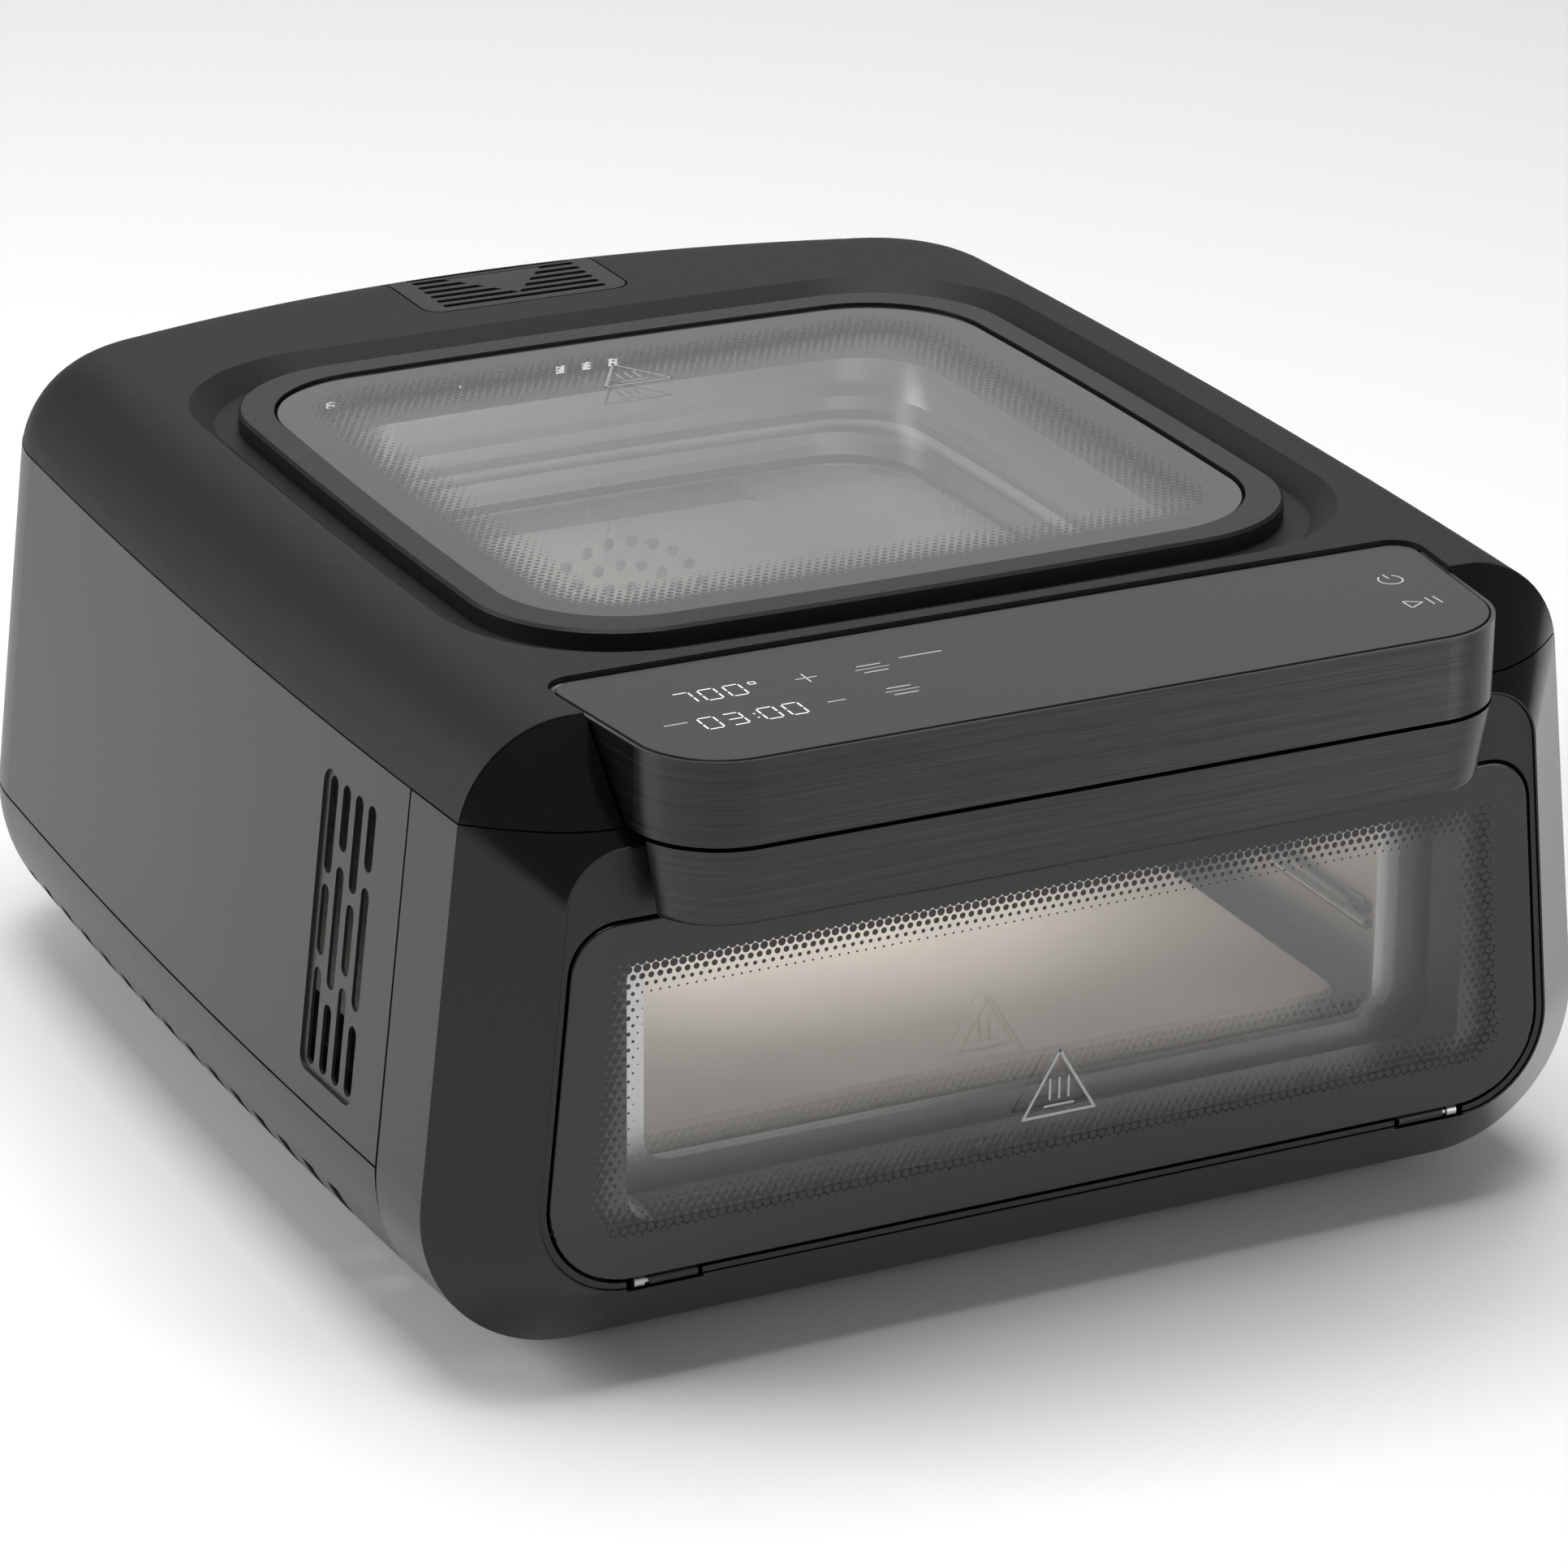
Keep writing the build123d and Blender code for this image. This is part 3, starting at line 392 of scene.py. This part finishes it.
def top_pane(name, ink):
    """Outer glass of the window in the top."""
    corner = 49 * MM
    low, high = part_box("top_glass_outer")
    middle = (low + high) / 2
    finish = Finish(name)
    x, y, z = finish.axes()
    side = high.x - finish.math("ABSOLUTE", x - middle.x)
    rise = (high.y - middle.y) - finish.math("ABSOLUTE", y - middle.y)
    edge = edge_distance(finish, side, rise, corner)
    face = z > high.z - 1.2 * MM
    return printed_glass(finish, edge, x, y, face, 14.5 * MM, 27 * MM, ink, 0.10, grey(0.5))


def plain_pane(name, haze):
    finish = Finish(name)
    smear = finish.noise(even(0.12))
    gloss = finish.pane_gloss()
    return finish.surface(
        finish.blend(smear, grey(0.7), grey(0.8)),
        0.04,
        Metallic=1.0,
        Alpha=gloss + smear * haze,
    )


def backed_glass(name, colour, roughness):
    """Satin glass with an even backing colour."""
    finish = Finish(name)
    fine = finish.noise(even(0.0009), detail=2.0)
    drift = finish.noise(even(0.2))
    return finish.surface(
        finish.blend(drift, shade(colour, 0.92), shade(colour, 1.08)),
        fine * 0.06 + (roughness - 0.03),
        Normal=finish.relief(fine, 0.000004),
        Specular_IOR_Level=0.33,
    )


def print_ink(name, colour, glow=0.0):
    finish = Finish(name)
    fine = finish.noise(even(0.0006))
    ink = finish.blend(fine, shade(colour, 0.92), colour)
    return finish.surface(ink, 0.45, Emission_Color=ink, Emission_Strength=glow)


ALONG_FRONT = (0.045, 0.045, 0.00028)  # streaks that run level across the front
ALONG_DEPTH = (0.00035, 0.05, 0.00035)  # streaks that run from front to back

finishes = {
    "textured_shell": moulded_plastic("textured_shell", grey(0.012), 0.55, 0.0009, 0.00010, 0.30),
    "side_shell": satin_shell("side_shell", grey(0.024), 0.36),
    "gloss_bezel": polished_plastic("gloss_bezel", grey(0.004), 0.16),
    "matte_black": moulded_plastic("matte_black", grey(0.007), 0.42, 0.0010, 0.00005, 0.4),
    "black_brushed_metal": brushed_sheet(
        "black_brushed_metal", grey(0.055), 0.32, ALONG_FRONT, 0.00002, contrast=0.75, grip=0.8
    ),
    "console_glass": backed_glass("console_glass", grey(0.013), 0.30),
    "door_glass": door_pane("door_glass", grey(0.014)),
    "window_glass": top_pane("window_glass", grey(0.020)),
    "stainless": brushed_sheet(
        "stainless", grey(0.52, 0.015), 0.32, ALONG_DEPTH, 0.00001, contrast=0.12
    ),
    "zinc_steel": plain_metal("zinc_steel", grey(0.46), 0.38),
    "stone": fired_stone("stone", (0.56, 0.50, 0.42)),
    "braid": braided_cord("braid", grey(0.40, 0.04), 2.4 * MM),
    "heater_rod": plain_metal("heater_rod", grey(0.14, 0.06), 0.45, 0.004),
    "wool": loose_wool("wool", (0.72, 0.70, 0.62)),
    "circuit": circuit_board("circuit", (0.02, 0.16, 0.07)),
    "rubber_feet": soft_rubber("rubber_feet", grey(0.015), 0.85),
    "fan_plastic": moulded_plastic("fan_plastic", grey(0.03), 0.5, 0.001, 0.00003),
    "motor_steel": plain_metal("motor_steel", grey(0.16), 0.5),
    "silicone": soft_rubber("silicone", grey(0.35), 0.6),
}
clear_pane = plain_pane("inner_pane", 0.03)
white_ink = print_ink("white_ink", grey(0.75))
lit_digits = print_ink("lit_digits", grey(0.85), 0.25)
grey_ink = print_ink("grey_ink", grey(0.45))
faint_ink = print_ink("faint_ink", grey(0.30))

for part in frame["record"]["subparts"]:
    node = frame["nodes"][part["node"]]
    node.data.materials.clear()
    inner = part["node"] in ("door_glass_inner", "top_glass_inner")
    node.data.materials.append(clear_pane if inner else finishes[part["material_slot"]])


# Prints. Each is drawn flat, as thin bars in a plane, then set on its glass.

INK = 0.05 * MM
SINK = 0.02 * MM  # how far a print reaches into the glass under it
LINE = 0.5 * MM


def bar(print_mesh, start, end, width=LINE):
    """A straight stroke between two points."""
    start = Vector(start)
    end = Vector(end)
    run = end - start
    made = bmesh.ops.create_cube(print_mesh, size=1.0)["verts"]
    bmesh.ops.scale(print_mesh, vec=(run.length, width, INK + SINK), verts=made)
    bmesh.ops.translate(print_mesh, vec=(0, 0, (INK - SINK) / 2), verts=made)
    bmesh.ops.rotate(print_mesh, matrix=Matrix.Rotation(math.atan2(run.y, run.x), 3, "Z"), verts=made)
    bmesh.ops.translate(print_mesh, vec=((start.x + end.x) / 2, (start.y + end.y) / 2, 0), verts=made)


def loop_of_bars(print_mesh, corners, width=LINE):
    """A closed outline whose corners are filled by the strokes' overlap."""
    for start, end in zip(corners, corners[1:] + corners[:1]):
        reach = (Vector(end) - Vector(start)).normalized() * width * 0.45
        bar(print_mesh, Vector(start) - reach, Vector(end) + reach, width)


SEGMENT_ENDS = {
    "a": ((0, 1), (1, 1)),
    "b": ((1, 1), (1, 0.5)),
    "c": ((1, 0.5), (1, 0)),
    "d": ((0, 0), (1, 0)),
    "e": ((0, 0.5), (0, 0)),
    "f": ((0, 1), (0, 0.5)),
    "g": ((0, 0.5), (1, 0.5)),
}
SEGMENTS = {"0": "abcdef", "3": "abcdg", "7": "abc"}


def digit(print_mesh, mark, left, front, width, height):
    """One figure of a segment display, with a small gap where segments meet."""
    for name in SEGMENTS[mark]:
        ends = [Vector((left + u * width, front + v * height)) for u, v in SEGMENT_ENDS[name]]
        gap = (ends[1] - ends[0]).normalized() * 0.55 * MM
        bar(print_mesh, ends[0] + gap, ends[1] - gap, 0.7 * MM)


def flat_print(name, draw, ink, body, turn, shift):
    """Runs a drawing function on an empty mesh and sets the result on its glass."""
    print_mesh = bmesh.new()
    draw(print_mesh)
    bmesh.ops.rotate(print_mesh, matrix=turn, verts=print_mesh.verts)
    bmesh.ops.translate(print_mesh, vec=shift, verts=print_mesh.verts)
    bmesh.ops.recalc_face_normals(print_mesh, faces=print_mesh.faces)
    mesh = bpy.data.meshes.new(name)
    print_mesh.to_mesh(mesh)
    print_mesh.free()
    mesh.materials.append(ink)
    piece = bpy.data.objects.new(name, mesh)
    bpy.context.scene.collection.objects.link(piece)
    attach(piece, body)


def on_top(name, draw, ink, glass):
    """Prints on a level glass are drawn in plan, at the height of that glass."""
    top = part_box(glass)[1].z
    flat_print(name, draw, ink, "oven", Matrix.Identity(3), (0, 0, top))


def on_door(name, draw, ink):
    """Door prints are drawn standing up, on the face of the outer glass."""
    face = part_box("door_glass_outer")[0].y
    flat_print(name, draw, ink, "door", Matrix.Rotation(math.pi / 2, 3, "X"), (0, face, 0))


FIGURE = 6.2 * MM  # width of one figure
STEP = 9.7 * MM  # from one figure to the next


def draw_temperature(print_mesh):
    for place, mark in enumerate("700"):
        digit(print_mesh, mark, -140 * MM + place * STEP, -234 * MM, FIGURE, 10 * MM)
    degree = [(-110.6, -226.4), (-108.2, -226.4), (-108.2, -224.2), (-110.6, -224.2)]
    loop_of_bars(print_mesh, [(x * MM, y * MM) for x, y in degree])


def draw_time(print_mesh):
    for place, mark in ((0, "0"), (1, "3"), (2.35, "0"), (3.35, "0")):
        digit(print_mesh, mark, -142 * MM + place * STEP, -259 * MM, FIGURE, 10.5 * MM)
    for height in (-256, -252.2):
        bar(print_mesh, (-121.9 * MM, height * MM), (-121.1 * MM, height * MM), 0.8 * MM)


def draw_keys(print_mesh):
    """Plus and minus keys, and two divider lines."""
    bar(print_mesh, (-94 * MM, -228.8 * MM), (-85.6 * MM, -228.8 * MM))
    bar(print_mesh, (-89.8 * MM, -233 * MM), (-89.8 * MM, -224.6 * MM))
    bar(print_mesh, (-93.4 * MM, -253.2 * MM), (-86.4 * MM, -253.2 * MM))
    for height in (-230, -253.5):
        bar(print_mesh, (-71 * MM, height * MM), (-57.5 * MM, height * MM), 0.35 * MM)


def draw_word_bars(print_mesh):
    """Thin plain bars, each as long as one short label."""
    thick = 0.9 * MM
    for height in (-226.8, -233.2, -250.3, -256.7):
        bar(print_mesh, (-69 * MM, height * MM), (-59.5 * MM, height * MM), thick)
    bar(print_mesh, (-51 * MM, -225 * MM), (-34 * MM, -225 * MM), thick)
    bar(print_mesh, (-155 * MM, -250 * MM), (-146 * MM, -250 * MM), thick)


def draw_run_keys(print_mesh):
    """Power key and start-and-pause key."""
    middle = Vector((149.8 * MM, -229.6 * MM))
    radius = 4.6 * MM
    opening = math.radians(70)
    count = 20
    points = []
    for step in range(count + 1):
        angle = math.pi / 2 + opening / 2 + (2 * math.pi - opening) * step / count
        points.append(middle + Vector((math.cos(angle), math.sin(angle))) * radius)
    for start, end in zip(points, points[1:]):
        bar(print_mesh, start, end)
    bar(print_mesh, middle + Vector((0, 1.2 * MM)), middle + Vector((0, 5.6 * MM)))
    play = [(141.6, -258.4), (141.6, -251.2), (148.2, -254.8)]
    loop_of_bars(print_mesh, [(x * MM, y * MM) for x, y in play])
    for side in (151.2, 154.6):
        bar(print_mesh, (side * MM, -258.2 * MM), (side * MM, -251.2 * MM))


def hot_mark(print_mesh, middle, base):
    """Plain triangle with three bars standing on a line. The middle and base are in millimetres."""
    outline = [(-14.75, 0), (14.75, 0), (0, 25)]
    loop_of_bars(print_mesh, [((middle + x) * MM, (base + up) * MM) for x, up in outline], 1.1 * MM)
    inner = 0.9 * MM  # stroke of the marks inside the triangle
    line = (base + 3.6) * MM
    bar(print_mesh, ((middle - 6.25) * MM, line), ((middle + 6.25) * MM, line), inner)
    for side in (middle - 3.85, middle, middle + 3.85):
        bar(print_mesh, (side * MM, (base + 6) * MM), (side * MM, (base + 14.5) * MM), inner)


def draw_door_mark(print_mesh):
    hot_mark(print_mesh, -0.75, 78)


def draw_window_mark(print_mesh):
    hot_mark(print_mesh, -4.1, 95)


on_top("print_temperature", draw_temperature, lit_digits, "console_glass")
on_top("print_time", draw_time, lit_digits, "console_glass")
on_top("print_keys", draw_keys, white_ink, "console_glass")
on_top("print_word_bars", draw_word_bars, grey_ink, "console_glass")
on_top("print_run_keys", draw_run_keys, white_ink, "console_glass")
on_top("print_window_mark", draw_window_mark, faint_ink, "top_glass_outer")
on_door("print_door_mark", draw_door_mark, grey_ink)


# Studio

def stand(name, size, level):
    """Pale floor, or any other flat sheet on the ground."""
    sheet = bmesh.new()
    bmesh.ops.create_grid(sheet, x_segments=1, y_segments=1, size=size)
    mesh = bpy.data.meshes.new(name)
    sheet.to_mesh(mesh)
    sheet.free()
    finish = Finish(name)
    drift = finish.noise(even(1.5))
    mesh.materials.append(finish.surface(finish.blend(drift, grey(level), grey(level + 0.02)), 0.7))
    floor = bpy.data.objects.new(name, mesh)
    bpy.context.scene.collection.objects.link(floor)


def soft_box(name, place, target, width, depth, brightness):
    """Rectangular soft light whose face has that brightness."""
    lamp = bpy.data.lights.new(name, "AREA")
    lamp.shape = "RECTANGLE"
    lamp.size = width
    lamp.size_y = depth
    lamp.energy = brightness * math.pi * width * depth
    holder = bpy.data.objects.new(name, lamp)
    aim = Vector(target) - Vector(place)
    holder.matrix_world = Matrix.Translation(place) @ aim.to_track_quat("-Z", "Y").to_matrix().to_4x4()
    bpy.context.scene.collection.objects.link(holder)
    return holder


stand("floor", 9.0, 0.95)
world = bpy.data.worlds.new("studio")
world.use_nodes = True
world.node_tree.nodes["Background"].inputs["Color"].default_value = (1, 1, 1, 1)
world.node_tree.nodes["Background"].inputs["Strength"].default_value = 0.16
bpy.context.scene.world = world
MIDDLE = (0, 0, 0.13)  # middle of the oven, which the lights face
soft_box("left_box", (-2.3, 0.9, 1.3), MIDDLE, 1.5, 1.1, 7.0)
soft_box("back_card", (1.3, 2.7, 1.5), MIDDLE, 2.6, 1.3, 0.8)
soft_box("front_box", (1.7, -2.2, 0.75), MIDDLE, 0.8, 1.4, 5.0)
soft_box("overhead", (0, 0, 3.0), MIDDLE, 2.2, 2.2, 5.0)
inside = soft_box("inside_fill", (0, -0.05, 0.199), (0, -0.05, 0), 0.22, 0.24, 1.6)
inside.visible_camera = False
inside.visible_glossy = False

# Camera

STATION = (-1.0067, -2.0613, 1.0399)
TURN = math.radians(-26.374)  # from straight ahead, to the oven's left
LOOK_DOWN = math.radians(22.024)
ROLL = math.radians(0.498)

lens = bpy.data.cameras.new("camera")
lens.sensor_width = 36
lens.lens = 143.12
lens.clip_end = 50
camera = bpy.data.objects.new("camera", lens)
camera.matrix_world = (
    Matrix.Translation(STATION)
    @ Matrix.Rotation(TURN, 4, "Z")
    @ Matrix.Rotation(math.pi / 2 - LOOK_DOWN, 4, "X")
    @ Matrix.Rotation(ROLL, 4, "Z")
)
bpy.context.scene.collection.objects.link(camera)
bpy.context.scene.camera = camera
bpy.context.scene.view_settings.view_transform = "Standard"
